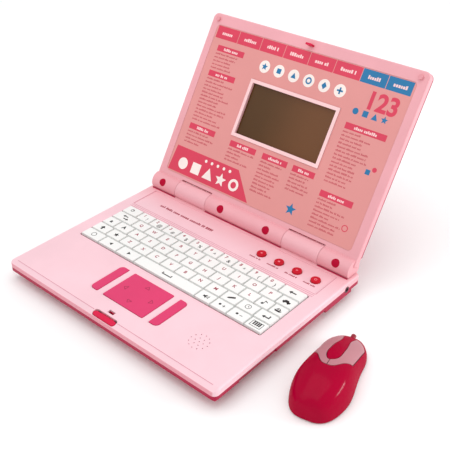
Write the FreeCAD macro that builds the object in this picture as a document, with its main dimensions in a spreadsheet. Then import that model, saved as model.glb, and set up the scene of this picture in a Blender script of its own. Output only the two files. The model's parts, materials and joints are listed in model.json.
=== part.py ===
"""Toy laptop computer with a hinged lid, a full keyboard and a small hand mouse.

The base stands on the table plane z = 0 with its underside centred on the origin, x to the right
and y to the back. The lid is modelled flat, face up, with its hinge axis on the x axis, and is then
turned to its open position. The mouse is modelled pointing along y and is then set beside the base.
All lengths are in millimetres and all angles in degrees.
"""
import FreeCAD, Part
import math
import os
import re

import Sketcher

from FreeCAD import Placement, Rotation, Vector

SIZES = {
    # base
    "base_width": 270.0,
    "base_depth": 208.0,
    "deck_height": 21.0,
    "front_corner": 5.0,
    "rear_corner": 4.0,
    "cover_side": 6.5,
    "strip_height": 4.0,
    "pan_inset_side": 13.0,
    "pan_inset_end": 16.0,
    "shell_wall": 2.0,
    "slope_wall": 3.2,
    "deck_wall": 2.0,
    "deck_edge": 2.2,
    "front_slope_depth": 6.0,
    "front_slope_drop": 2.2,
    "recess_front_from_back": 54.0,
    "recess_back_from_back": 20.0,
    "recess_from_side": 13.5,
    "rear_recess_drop": 0.5,
    "side_notch_start": 30.0,
    "side_notch_end": 79.0,
    "side_notch_deep": 1.6,
    "rest_start_from_back": 56.0,
    "rest_end_from_back": 14.0,
    "rest_block_width": 15.0,
    "rest_block_drop": 3.0,
    # gaps
    "run_gap": 0.4,
    "hole_gap": 0.05,
    "seat_gap": 0.2,
    # keyboard
    "keyboard_from_side": 16.25,
    "keyboard_front": 76.8,
    "keyboard_from_back": 60.7,
    "key_gap": 0.8,
    "key_taper": 0.7,
    "key_rise": 1.5,
    "key_sink": 4.2,
    "key_travel": 1.5,
    "key_rim": 0.6,
    "escape_width": 21.5,
    "back_key_width": 26.0,
    "tab_width": 29.2,
    "car_key_width": 18.3,
    "small_case_width": 17.3,
    "large_case_width": 20.5,
    "boat_key_width": 15.4,
    "music_key_width": 16.0,
    "shift_width": 21.2,
    "star_key_width": 20.2,
    "enter_width": 20.8,
    "pencil_key_width": 19.0,
    "clock_key_width": 20.5,
    "circle_key_width": 26.2,
    "arrow_key_width": 25.8,
    "piano_key_width": 19.8,
    "sound_key_width": 19.2,
    "plus_key_width": 19.5,
    "minus_key_width": 20.8,
    # pad, bars and round buttons
    "pad_width": 52.0,
    "pad_depth": 41.2,
    "pad_front": 25.1,
    "pad_rise": 0.5,
    "pad_corner": 1.2,
    "bar_width": 9.8,
    "bar_depth": 41.0,
    "bar_front": 25.4,
    "bar_centre": 39.0,
    "bar_outer_corner": 4.4,
    "bar_inner_corner": 0.8,
    "button_radius": 4.8,
    "button_from_side": 25.7,
    "button_pitch": 21.8,
    "button_from_back": 37.0,
    "button_rise": 1.3,
    # latch and hook
    "latch_width": 28.0,
    "latch_depth": 5.6,
    "latch_front": 1.2,
    "latch_thick": 2.0,
    "latch_below_deck": 0.4,
    "latch_corner": 2.7,
    "latch_edge": 0.8,
    "latch_travel": 1.2,
    "slide_width": 16.0,
    "slide_thick": 1.8,
    "catch_width": 4.0,
    "hook_width": 6.4,
    "hook_thick": 2.0,
    "hook_reach": 7.0,
    "hook_from_top": 6.5,
    "hook_flange_width": 12.0,
    "hook_flange_height": 6.0,
    "hook_flange_thick": 1.5,
    "slot_width": 7.6,
    "slot_depth": 3.9,
    # inside the base
    "membrane_thick": 1.2,
    "board_thick": 1.6,
    "board_margin": 1.0,
    "board_post_radius": 3.0,
    "speaker_from_side": 50.0,
    "speaker_y": 36.0,
    "speaker_radius": 20.0,
    "speaker_frame": 4.0,
    "magnet_radius": 11.0,
    "magnet_depth": 6.0,
    "grille_hole": 0.6,
    "grille_step": 4.6,
    "post_radius": 3.4,
    "boss_radius": 4.2,
    "boss_top": 8.0,
    "screw_radius": 1.25,
    "screw_head_radius": 2.6,
    "screw_head_thick": 1.8,
    "screw_length": 9.0,
    "screw_sink": 1.0,
    "front_screw_from_side": 75.0,
    "front_screw_y": 20.0,
    "side_screw_from_side": 23.0,
    "side_screw_y": 62.0,
    "rear_screw_from_side": 8.0,
    "rear_screw_from_back": 47.0,
    "post_from_side": 35.0,
    "board_post_inset": 9.0,
    "pad_post_y": 45.0,
    # batteries
    "cell_radius": 7.25,
    "cell_length": 50.5,
    "cell_clear": 0.5,
    "contact_thick": 0.5,
    "contact_room": 1.4,
    "cell_pitch": 16.0,
    "bay_from_side": 15.0,
    "bay_from_back": 52.0,
    "bay_rib": 1.5,
    "bay_rib_top": 14.0,
    "door_thick": 2.0,
    "door_gap": 0.3,
    "door_inset": 2.5,
    "door_tab_width": 8.0,
    "door_tab_reach": 2.0,
    "door_tab_thick": 1.2,
    # hinge
    "hinge_from_back": 6.7,
    "hinge_rise": 6.0,
    "barrel_radius": 10.0,
    "barrel_from_side": 4.0,
    "knuckle_inner": 52.0,
    "knuckle_from_side": 39.6,
    "hinge_bar": 18.0,
    "pin_radius": 2.0,
    "pin_reach": 12.0,
    "lid_lean": 31.8,
    # lid
    "lid_from_side": 2.75,
    "lid_from_front": 6.3,
    "lid_foot": 2.0,
    "lid_corner": 6.0,
    "lid_low_corner": 2.0,
    "lid_edge": 1.4,
    "lid_face": 3.2,
    "lid_front_depth": 7.0,
    "lid_back_depth": 3.5,
    "lid_back_edge": 2.4,
    "lid_wall": 2.0,
    "lid_face_wall": 2.6,
    "lid_cover_foot": 11.5,
    "panel_from_side": 9.75,
    "panel_foot": 15.1,
    "panel_from_top": 12.0,
    "panel_thick": 1.2,
    "panel_recess": 1.4,
    "panel_corner": 4.0,
    "lcd_width": 105.0,
    "lcd_height": 55.4,
    "lcd_foot": 80.0,
    "lcd_offset": 1.0,
    "lcd_frame_wide": 3.6,
    "lcd_frame_proud": 0.7,
    "lcd_lap": 4.0,
    "lcd_thick": 3.0,
    "display_board_lap": 8.0,
    "display_board_thick": 1.2,
    "chip_width": 16.0,
    "chip_height": 9.0,
    "chip_thick": 1.4,
    "bumper_radius": 2.4,
    "bumper_height": 2.4,
    "bumper_side": 8.5,
    "bumper_down": 6.5,
    "plug_radius": 4.3,
    "plug_thick": 2.6,
    "plug_proud": 0.1,
    "plug_from_knuckle": 21.5,
    "plug_from_end": 15.4,
    "lid_screw_length": 9.0,
    # mouse jack
    "jack_from_back": 22.0,
    "jack_radius": 3.2,
    "jack_bore": 1.8,
    "jack_length": 14.0,
    "jack_bore_deep": 12.0,
    "jack_proud": 0.3,
    # mouse
    "mouse_x": 183.6,
    "mouse_y": -13.4,
    "mouse_heading": 12.5,
    "mouse_length": 103.5,
    "mouse_width": 49.9,
    "mouse_height": 28.6,
    "mouse_split": 7.0,
    "mouse_wall": 2.2,
    "mouse_lift": 0.8,
    "mouse_foot_width": 22.0,
    "mouse_foot_depth": 6.0,
    "mouse_button_back": -12.0,
    "mouse_button_run": 15.5,
    "mouse_button_side": 16.8,
    "mouse_button_low": 11.0,
    "mouse_button_travel": 0.8,
    "mouse_gap": 0.6,
    "mouse_swell": 1.099,
    "mouse_plan_power": 0.657,
    "mouse_side_power": 0.407,
    "mouse_nose_narrow": 0.153,
    "mouse_waist": 0.134,
    "mouse_waist_place": 0.202,
    "mouse_waist_spread": 0.3,
    "mouse_nose_fall": 0.406,
    "mouse_tail_fall": 0.089,
    "mouse_fall_start": 0.25,
    "mouse_arch_across": 0.708,
    "mouse_arch_up": 0.85,
    "inlay_half_width": 5.75,
    "inlay_back": -5.0,
    "mouse_board_width": 30.0,
    "mouse_board_depth": 44.0,
    "mouse_board_thick": 1.6,
    "gland_radius": 2.3,
    "gland_reach": 2.4,
    "gland_root": 5.0,
    "gland_up": 6.6,
}

# sizes and places that follow from the sizes above
FOLLOWING = {
    "rear_recess_front": "base_depth - recess_front_from_back",
    "rear_recess_back": "base_depth - recess_back_from_back",
    "rear_recess_width": "base_width - 2 * recess_from_side",
    "rest_block_start": "base_depth - rest_start_from_back",
    "rest_block_end": "base_depth - rest_end_from_back",
    "keyboard_width": "base_width - 2 * keyboard_from_side",
    "keyboard_depth": "base_depth - keyboard_front - keyboard_from_back",
    "row_pitch": "keyboard_depth / 5",
    "button_first": "base_width / 2 - button_from_side - 3 * button_pitch",
    "button_back": "base_depth - button_from_back",
    "speaker_x": "base_width / 2 - speaker_from_side",
    "front_screw_x": "base_width / 2 - front_screw_from_side",
    "side_screw_x": "base_width / 2 - side_screw_from_side",
    "rear_screw_x": "base_width / 2 - rear_screw_from_side",
    "rear_screw_y": "base_depth - rear_screw_from_back",
    "board_post_x": "base_width / 2 - post_from_side",
    "bay_left": "base_width / 2 - bay_from_side",
    "bay_front": "base_depth - bay_from_back",
    "barrel_end": "base_width / 2 - barrel_from_side",
    "knuckle_outer": "base_width / 2 - knuckle_from_side",
    "pin_inner": "knuckle_inner - pin_reach",
    "pin_outer": "knuckle_outer + pin_reach",
    "lid_width": "base_width - 2 * lid_from_side",
    "lid_top": "base_depth - hinge_from_back - lid_from_front",
    "hook_up": "lid_top - hook_from_top",
    "panel_width": "lid_width - 2 * panel_from_side",
    "panel_top": "lid_top - panel_from_top",
    "plug_inner": "knuckle_inner - plug_from_knuckle",
    "plug_outer": "barrel_end - plug_from_end",
    "jack_back": "base_depth - jack_from_back",
}

doc = FreeCAD.newDocument("toy_laptop")
sheet = doc.addObject("Spreadsheet::Sheet", "sizes")
for row, (alias, value) in enumerate(SIZES.items(), start=1):
    sheet.set(f"A{row}", alias)
    sheet.set(f"B{row}", str(value))
    sheet.setAlias(f"B{row}", alias)
doc.recompute()

FUNCTIONS = {"sqrt", "atan", "cos", "sin"}
X_AXIS = Vector(1, 0, 0)
Y_AXIS = Vector(0, 1, 0)
Z_AXIS = Vector(0, 0, 1)

# places that several pieces share, written with the sheet's names
FRONT = "(-base_depth / 2)"
BACK = "(base_depth / 2)"
DECK = "deck_height"
DECK_UNDER = "(deck_height - deck_wall)"
SPLIT = "(deck_height - cover_side)"
STRIP_LOW = "(deck_height - cover_side - strip_height)"
KEY_FOOT = "(deck_height - key_sink)"
MEMBRANE_TOP = "(deck_height - key_sink - key_travel - run_gap)"
BOARD_TOP = f"({MEMBRANE_TOP} - membrane_thick)"
BOARD_FOOT = f"({BOARD_TOP} - board_thick)"
HINGE_Y = f"({BACK} - hinge_from_back)"
HINGE_Z = "(deck_height + hinge_rise)"
HOOK_Y = f"({HINGE_Y} - hook_up)"
LID_BACK = "(lid_face - lid_front_depth)"
RECESS_FLOOR = "(lid_face - panel_recess)"
FACE_INSIDE = "(lid_face - lid_face_wall)"
LCD_CENTRE_Y = "(lcd_foot + lcd_height / 2)"

subparts = []


def bound(text):
    """Return an expression whose names point into the sheet."""
    def point(match):
        word = match.group()
        if word in FOLLOWING:
            return f"({bound(FOLLOWING[word])})"
        return word if word in FUNCTIONS else "sizes." + word
    return re.sub(r"[a-z_]+", point, text)


def size(text):
    """Return the number that an expression of sheet names gives."""
    return float(sheet.evalExpression(bound(text)))


def bind(item, **expressions):
    """Bind properties of an item, where a double underscore stands for a dot."""
    for name, text in expressions.items():
        item.setExpression(name.replace("__", "."), bound(text))
    return item


def place(item, x, y, z):
    """Bind the place of an item."""
    return bind(item, Placement__Base__x=x, Placement__Base__y=y, Placement__Base__z=z)


def box(name, low, span):
    """Make a box from its low corner and its three lengths."""
    item = doc.addObject("Part::Box", name)
    bind(item, Length=span[0], Width=span[1], Height=span[2])
    return place(item, *low)


def cylinder(name, radius, length, foot, along="z"):
    """Make a cylinder that starts at its foot and runs along an axis."""
    item = doc.addObject("Part::Cylinder", name)
    turns = {"x": Rotation(Y_AXIS, 90), "y": Rotation(X_AXIS, -90), "z": Rotation()}
    item.Placement = Placement(Vector(), turns[along])
    bind(item, Radius=radius, Height=length)
    return place(item, *foot)


def frustum(name, centre, foot, top, height):
    """Make a block with a rectangular foot and a smaller or larger rectangular top."""
    item = doc.addObject("Part::Wedge", name)
    item.Placement = Placement(Vector(), Rotation(X_AXIS, 90))
    bind(item, Ymin="0", Ymax=height)
    bind(item, Xmin=f"-({foot[0]}) / 2", Xmax=f"({foot[0]}) / 2")
    bind(item, Zmin=f"-({foot[1]}) / 2", Zmax=f"({foot[1]}) / 2")
    bind(item, X2min=f"-({top[0]}) / 2", X2max=f"({top[0]}) / 2")
    bind(item, Z2min=f"-({top[1]}) / 2", Z2max=f"({top[1]}) / 2")
    return place(item, *centre)


def fuse(name, items):
    """Join items into one shape, or into a group where they do not touch."""
    item = doc.addObject("Part::MultiFuse", name)
    item.Shapes = items
    item.Refine = True
    return item


def cut(name, base, tools):
    """Cut tools from a base."""
    item = doc.addObject("Part::Cut", name)
    item.Base = base
    item.Tool = tools[0] if len(tools) == 1 else fuse(name + "_tools", tools)
    return item


def common(name, base, tool):
    """Keep what two items share."""
    item = doc.addObject("Part::Common", name)
    item.Base = base
    item.Tool = tool
    return item


def draw_rounded(sketch, width, depth, near_corner, far_corner):
    """Draw a centred rectangle with one radius at its near corners and one at its far ones."""
    half_x = size(width) / 2
    half_y = size(depth) / 2
    near = size(near_corner)
    far = size(far_corner)
    corners = [(1, -1, near), (1, 1, far), (-1, 1, far), (-1, -1, near)]
    ends = [
        (Vector(-half_x + near, -half_y), Vector(half_x - near, -half_y)),
        (Vector(half_x, -half_y + near), Vector(half_x, half_y - far)),
        (Vector(half_x - far, half_y), Vector(-half_x + far, half_y)),
        (Vector(-half_x, half_y - far), Vector(-half_x, -half_y + near)),
    ]
    for start, end in ends:
        sketch.addGeometry(Part.LineSegment(start, end))
    for turn, (side_x, side_y, radius) in enumerate(corners):
        centre = Vector(side_x * (half_x - radius), side_y * (half_y - radius))
        circle = Part.Circle(centre, Z_AXIS, radius)
        first = math.radians(90 * turn - 90)
        sketch.addGeometry(Part.ArcOfCircle(circle, first, first + math.pi / 2))
    for line in range(4):
        arc = 4 + line
        following = (line + 1) % 4
        sketch.addConstraint(Sketcher.Constraint("Tangent", line, 2, arc, 1))
        sketch.addConstraint(Sketcher.Constraint("Tangent", arc, 2, following, 1))
    for line, direction in enumerate(["Horizontal", "Vertical", "Horizontal", "Vertical"]):
        sketch.addConstraint(Sketcher.Constraint(direction, line))
    drive(sketch, "near_right", Sketcher.Constraint("Radius", 4, near), near_corner)
    drive(sketch, "far_right", Sketcher.Constraint("Radius", 5, far), far_corner)
    drive(sketch, "far_left", Sketcher.Constraint("Radius", 6, far), far_corner)
    drive(sketch, "near_left", Sketcher.Constraint("Radius", 7, near), near_corner)
    half_width = f"({width}) / 2"
    half_depth = f"({depth}) / 2"
    drive(sketch, "front", Sketcher.Constraint("DistanceY", 0, 1, -1, 1, half_y), half_depth)
    drive(sketch, "right", Sketcher.Constraint("DistanceX", -1, 1, 1, 1, half_x), half_width)
    drive(sketch, "back", Sketcher.Constraint("DistanceY", -1, 1, 2, 1, half_y), half_depth)
    drive(sketch, "left", Sketcher.Constraint("DistanceX", 3, 1, -1, 1, half_x), half_width)


def drive(sketch, name, constraint, text):
    """Add a constraint whose value follows the sheet."""
    index = sketch.addConstraint(constraint)
    sketch.renameConstraint(index, name)
    sketch.setExpression(f"Constraints.{name}", bound(text))


def plate(name, centre, width, depth, height, near_corner, far_corner=None, top_edge=None, foot_edge=None):
    """Make a rounded plate that stands on its centre, with rounded upper or lower edges if asked."""
    body = doc.addObject("PartDesign::Body", name)
    sketch = body.newObject("Sketcher::SketchObject", name + "_outline")
    planes = [plane for plane in body.Origin.OriginFeatures if plane.Role == "XY_Plane"]
    sketch.AttachmentSupport = [(planes[0], "")]
    sketch.MapMode = "FlatFace"
    draw_rounded(sketch, width, depth, near_corner, far_corner or near_corner)
    pad = body.newObject("PartDesign::Pad", name + "_pad")
    pad.Profile = sketch
    bind(pad, Length=height)
    if top_edge:
        round_loop(body, pad, size(height), top_edge)
    if foot_edge:
        round_loop(body, pad, 0.0, foot_edge)
    return place(body, *centre)


def round_loop(body, pad, level, radius):
    """Round the loop of edges that lies at one level of a pad."""
    doc.recompute()
    names = []
    for index, edge in enumerate(pad.Shape.Edges, start=1):
        heights = [vertex.Z for vertex in edge.Vertexes]
        if all(abs(height - level) < 1e-6 for height in heights):
            names.append(f"Edge{index}")
    fillet = body.newObject("PartDesign::Fillet", pad.Name + "_round")
    fillet.Base = (pad, names)
    bind(fillet, Radius=radius)


def finish(label, item):
    """Keep an item as a sub-part under its own label."""
    item.Label = label
    subparts.append(item)
    return item


def open_lid(item):
    """Turn a lid piece from lying flat to its open position."""
    item.Placement = Placement(Vector(), Rotation(X_AXIS, 45))
    bind(item, Placement__Rotation__Angle="90 - lid_lean")
    return place(item, "0", HINGE_Y, HINGE_Z)


# screws of the base: name, place across, place from the front edge, height of the boss foot
REST_LOW = f"({STRIP_LOW} - rest_block_drop)"
SCREWS = [
    ("front_screw", "front_screw_x", "front_screw_y", "0"),
    ("side_screw", "side_screw_x", "side_screw_y", "0"),
    ("rear_screw", "rear_screw_x", "rear_screw_y", REST_LOW),
]


def at_screws(kind, radius, low, high=None):
    """Make an upright cylinder at each screw of the base.

    Heights are above the boss foot. Without an upper height the cylinder ends under the deck.
    """
    made = []
    for name, across, deep, foot in SCREWS:
        top = high or f"{DECK_UNDER} - {foot}"
        for side, sign in (("right", "1"), ("left", "-1")):
            spot = (f"{sign} * {across}", f"{FRONT} + {deep}", f"{foot} + {low}")
            made.append(cylinder(f"{kind}_{name}_{side}", radius, f"{top} - ({low})", spot))
    return made


# keyboard rows from back to front: node, width of one key, number of keys
# keys whose width is None share what the other keys leave of the row
KEY_ROWS = [
    [("key_escape", "escape_width", 1), ("number_keys", None, 10), ("key_back", "back_key_width", 1)],
    [("key_tab", "tab_width", 1), ("letter_keys_top", None, 10), ("key_car", "car_key_width", 1)],
    [
        ("key_small_case", "small_case_width", 1),
        ("key_large_case", "large_case_width", 1),
        ("letter_keys_middle", None, 9),
        ("key_music", "music_key_width", 1),
        ("key_boat", "boat_key_width", 1),
    ],
    [
        ("key_shift", "shift_width", 1),
        ("key_star", "star_key_width", 1),
        ("letter_keys_bottom", None, 7),
        ("key_pencil", "pencil_key_width", 1),
        ("key_clock", "clock_key_width", 1),
        ("key_enter", "enter_width", 1),
    ],
    [
        ("key_circle", "circle_key_width", 1),
        ("arrow_keys", "arrow_key_width", 2),
        ("space_bar", None, 1),
        ("key_sound", "sound_key_width", 1),
        ("key_plus", "plus_key_width", 1),
        ("key_minus", "minus_key_width", 1),
        ("key_piano", "piano_key_width", 1),
    ],
]


def make_keys():
    """Make every key of the keyboard as a tapered cap, in groups of one node each."""
    for number, row_keys in enumerate(KEY_ROWS):
        middle = f"({FRONT} + keyboard_front + {len(KEY_ROWS) - number - 0.5} * row_pitch)"
        taken = " + ".join(f"{count} * {width}" for node, width, count in row_keys if width)
        start = "(-keyboard_width / 2)"
        for node, width, count in row_keys:
            width = width or f"((keyboard_width - ({taken})) / {count})"
            caps = []
            for place_in_group in range(count):
                across = f"({start} + {width} / 2)"
                foot = (f"{width} - key_gap", "row_pitch - key_gap")
                top = (f"{foot[0]} - 2 * key_taper", f"{foot[1]} - 2 * key_taper")
                centre = (across, middle, KEY_FOOT)
                name = f"{node}_cap_{place_in_group + 1}"
                caps.append(frustum(name, centre, foot, top, "key_sink + key_rise"))
                start = f"({start} + {width})"
            finish(node, caps[0] if count == 1 else fuse(node + "_group", caps))


def make_pad_and_bars():
    """Make the touch pad and the two click bars beside it."""
    height = "key_sink + pad_rise"
    pad_middle = ("0", f"{FRONT} + pad_front + pad_depth / 2", KEY_FOOT)
    finish("touchpad", plate("pad_plate", pad_middle, "pad_width", "pad_depth", height, "pad_corner"))
    for side, sign, turn in (("left", "-1", -90), ("right", "1", 90)):
        middle = (f"{sign} * bar_centre", f"{FRONT} + bar_front + bar_depth / 2", KEY_FOOT)
        bar = plate(f"{side}_bar_plate", middle, "bar_depth", "bar_width", height,
                    "bar_outer_corner", "bar_inner_corner")
        bar.Placement = Placement(bar.Placement.Base, Rotation(Z_AXIS, turn))
        finish(f"{side}_click_bar", bar)


def make_round_buttons():
    """Make the four round buttons behind the keyboard."""
    for number in range(4):
        spot = (f"button_first + {number} * button_pitch", f"{FRONT} + button_back", KEY_FOOT)
        stem = cylinder(f"button_stem_{number + 1}", "button_radius", "key_sink + button_rise", spot)
        finish(f"function_button_{number + 1}", stem)


def make_latch():
    """Make the release slide: a button head in the front edge and a frame with the catch bar."""
    head_middle = f"({FRONT} + latch_front + latch_depth / 2)"
    head_foot = "(deck_height - latch_below_deck - latch_thick)"
    head = plate("latch_head", ("0", head_middle, head_foot), "latch_width", "latch_depth",
                 "latch_thick", "latch_corner", top_edge="latch_edge")
    window_front = f"({HOOK_Y} - hook_thick / 2 - run_gap - latch_travel)"
    window_back = f"({HOOK_Y} + hook_thick / 2 + run_gap)"
    slide_top = f"({DECK_UNDER} - run_gap)"
    slide_front = f"({FRONT} + latch_front + latch_depth / 2)"
    slide = box("latch_slide", ("-slide_width / 2", slide_front, f"{slide_top} - slide_thick"),
                ("slide_width", f"{window_back} + catch_width - {slide_front}", "slide_thick"))
    window = box("latch_window", ("-slot_width / 2", window_front, f"{slide_top} - 2 * slide_thick"),
                 ("slot_width", f"{window_back} - {window_front}", "3 * slide_thick"))
    finish("latch_button", cut("latch_piece", fuse("latch_block", [head, slide]), [window]))


def board_outline(kind, margin, low, thick):
    """Make the sheet that lies under the keys, the pad and the round buttons."""
    wide = f"(keyboard_width + 2 * {margin})"
    keys = box(f"{kind}_under_keys", (f"-{wide} / 2", f"{FRONT} + keyboard_front - {margin}", low),
               (wide, f"keyboard_depth + 2 * {margin}", thick))
    pad_side = f"(bar_centre + bar_width / 2 + {margin})"
    pad_low = f"({FRONT} + pad_front - {margin})"
    pad = box(f"{kind}_under_pad", (f"-{pad_side}", pad_low, low),
              (f"2 * {pad_side}", f"{FRONT} + keyboard_front - {pad_low}", thick))
    button_side = f"(button_first - button_radius - {margin})"
    button_low = f"({FRONT} + keyboard_front + keyboard_depth)"
    buttons = box(f"{kind}_under_buttons", (button_side, button_low, low),
                  (f"3 * button_pitch + 2 * button_radius + 2 * {margin}",
                   f"{FRONT} + button_back + button_radius + {margin} - {button_low}", thick))
    return fuse(f"{kind}_sheet", [keys, pad, buttons])


def hinge_run(kind, radius, start, end, sign):
    """Make a cylinder on the base's hinge axis, between two distances from the middle."""
    low = start if sign == "1" else f"-({end})"
    return cylinder(f"{kind}_{'right' if sign == '1' else 'left'}", radius, f"{end} - ({start})",
                    (low, HINGE_Y, HINGE_Z), "x")


def deck_openings():
    """Make the tools that open the deck for keys, pad, bars, buttons, latch and hook."""
    tall = "3 * deck_wall"
    low = f"({DECK} - 2 * deck_wall)"
    keyboard_middle = f"{FRONT} + keyboard_front + keyboard_depth / 2"
    tools = [plate("keyboard_opening", ("0", keyboard_middle, low), "keyboard_width + 2 * key_rim",
                   f"keyboard_depth + 2 * key_rim", tall, "2 * key_rim")]
    pad_middle = f"{FRONT} + pad_front + pad_depth / 2"
    tools.append(plate("pad_opening", ("0", pad_middle, low), "pad_width + 2 * run_gap",
                       "pad_depth + 2 * run_gap", tall, "pad_corner + run_gap"))
    for side, sign, turn in (("left", "-1", -90), ("right", "1", 90)):
        middle = (f"{sign} * bar_centre", f"{FRONT} + bar_front + bar_depth / 2", low)
        opening = plate(f"{side}_bar_opening", middle, "bar_depth + 2 * run_gap",
                        "bar_width + 2 * run_gap", tall,
                        "bar_outer_corner + run_gap", "bar_inner_corner + run_gap")
        opening.Placement = Placement(opening.Placement.Base, Rotation(Z_AXIS, turn))
        tools.append(opening)
    for number in range(4):
        spot = (f"button_first + {number} * button_pitch", f"{FRONT} + button_back", low)
        tools.append(cylinder(f"button_hole_{number + 1}", "button_radius + run_gap", tall, spot))
    notch_foot = "(deck_height - latch_below_deck - latch_thick - run_gap)"
    notch_front = f"({FRONT} + latch_front - run_gap)"
    notch_back = f"({FRONT} + latch_front + latch_depth + latch_travel + run_gap)"
    tools.append(plate("latch_notch", ("0", f"({notch_front} + {notch_back}) / 2", notch_foot),
                       "latch_width + 2 * run_gap", f"{notch_back} - {notch_front}",
                       f"{DECK} + deck_wall - {notch_foot}", "latch_corner + run_gap"))
    tools.append(box("hook_slot", ("-slot_width / 2", f"{HOOK_Y} - slot_depth / 2", low),
                     ("slot_width", "slot_depth", tall)))
    tools.append(box("rear_recess",
                     ("-rear_recess_width / 2", f"{FRONT} + rear_recess_front", f"{DECK} - rear_recess_drop"),
                     ("rear_recess_width", "rear_recess_back - rear_recess_front", "deck_wall")))
    return tools


def grille_holes():
    """Make the speaker's sound holes: one in the middle and two rings around it."""
    holes = []
    for ring, count in enumerate((1, 6, 12)):
        for step in range(count):
            angle = 360.0 * step / count
            spot = (f"speaker_x + {ring} * grille_step * cos({angle})",
                    f"{FRONT} + speaker_y + {ring} * grille_step * sin({angle})",
                    f"{DECK} - 2 * deck_wall")
            holes.append(cylinder(f"grille_hole_{ring}_{step + 1}", "grille_hole", "3 * deck_wall", spot))
    return holes


def jack_hole(kind):
    """Make the tool for the jack's seat in the right side of the base."""
    start = "(base_width / 2 + jack_proud - jack_length)"
    return cylinder(f"{kind}_jack_seat", "jack_radius + hole_gap", "jack_length + shell_wall",
                    (start, f"{FRONT} + jack_back", SPLIT), "x")


def make_top_cover():
    """Make the pink cover of the base with its deck, hinge knuckles and troughs."""
    block = plate("cover_block", ("0", "0", SPLIT), "base_width", "base_depth", "cover_side",
                  "front_corner", "rear_corner", top_edge="deck_edge")
    hollow = plate("cover_hollow", ("0", "0", SPLIT), "base_width - 2 * shell_wall",
                   "base_depth - 2 * shell_wall", "cover_side - deck_wall",
                   "front_corner - shell_wall", "rear_corner - shell_wall")
    shell = cut("cover_shell", block, [hollow])
    bar = box("hinge_bar_block", ("-base_width / 2 + shell_wall", f"{BACK} - hinge_bar", SPLIT),
              ("base_width - 2 * shell_wall", "hinge_bar - shell_wall", "cover_side"))
    posts = at_screws("cover_post", "post_radius", "boss_top")
    troughs = []
    for sign in ("1", "-1"):
        troughs.append(hinge_run("outer_trough", "barrel_radius + run_gap", "knuckle_outer",
                                 "barrel_end + run_gap", sign))
        troughs.append(hinge_run("middle_trough", "barrel_radius + run_gap", "0", "knuckle_inner", sign))
    slope = doc.addObject("Part::Wedge", "front_slope")
    slope.Placement = Placement(Vector(), Rotation(X_AXIS, -90))
    bind(slope, Xmin="-base_width", Xmax="base_width", X2min="-base_width", X2max="base_width")
    bind(slope, Ymin="0", Ymax="2 * front_slope_drop")
    bind(slope, Zmin="-2 * front_slope_depth", Zmax="0")
    bind(slope, Z2min="-2 * front_slope_depth", Z2max="-2 * front_slope_depth")
    place(slope, "0", f"{FRONT} + front_slope_depth", DECK)
    worked = cut("cover_worked", fuse("cover_joined", [shell, bar] + posts),
                 troughs + [slope, jack_hole("cover")] + deck_openings() + grille_holes())
    knuckles = []
    for side, sign in (("right", "1"), ("left", "-1")):
        barrel = hinge_run("knuckle_barrel", "barrel_radius", "knuckle_inner", "knuckle_outer", sign)
        low = "knuckle_inner" if sign == "1" else "-knuckle_outer"
        foot = box(f"knuckle_foot_{side}", (low, f"{HINGE_Y} - hinge_rise", SPLIT),
                   ("knuckle_outer - knuckle_inner", f"{BACK} - ({HINGE_Y} - hinge_rise)",
                    f"{HINGE_Z} - {SPLIT}"))
        knuckles += [barrel, foot]
    bores = [hinge_run("knuckle_bore", "pin_radius", "pin_inner", "pin_outer", sign) for sign in ("1", "-1")]
    pilots = at_screws("cover_pilot", "screw_radius", "boss_top - shell_wall",
                       "screw_sink + screw_head_thick + screw_length + seat_gap")
    joined = fuse("cover_with_knuckles", [worked] + knuckles)
    finish("base_top_cover", cut("cover_piece", joined, bores + pilots))


def bay_spans():
    """Return the battery bay's inner low corner and its inner lengths."""
    low_x = "(-bay_left + bay_rib)"
    low_y = f"({FRONT} + bay_front + bay_rib)"
    long = "(2 * cell_length + cell_clear + 2 * contact_room)"
    deep = "(cell_pitch + 2 * cell_radius + 2 * cell_clear)"
    return low_x, low_y, long, deep


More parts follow.
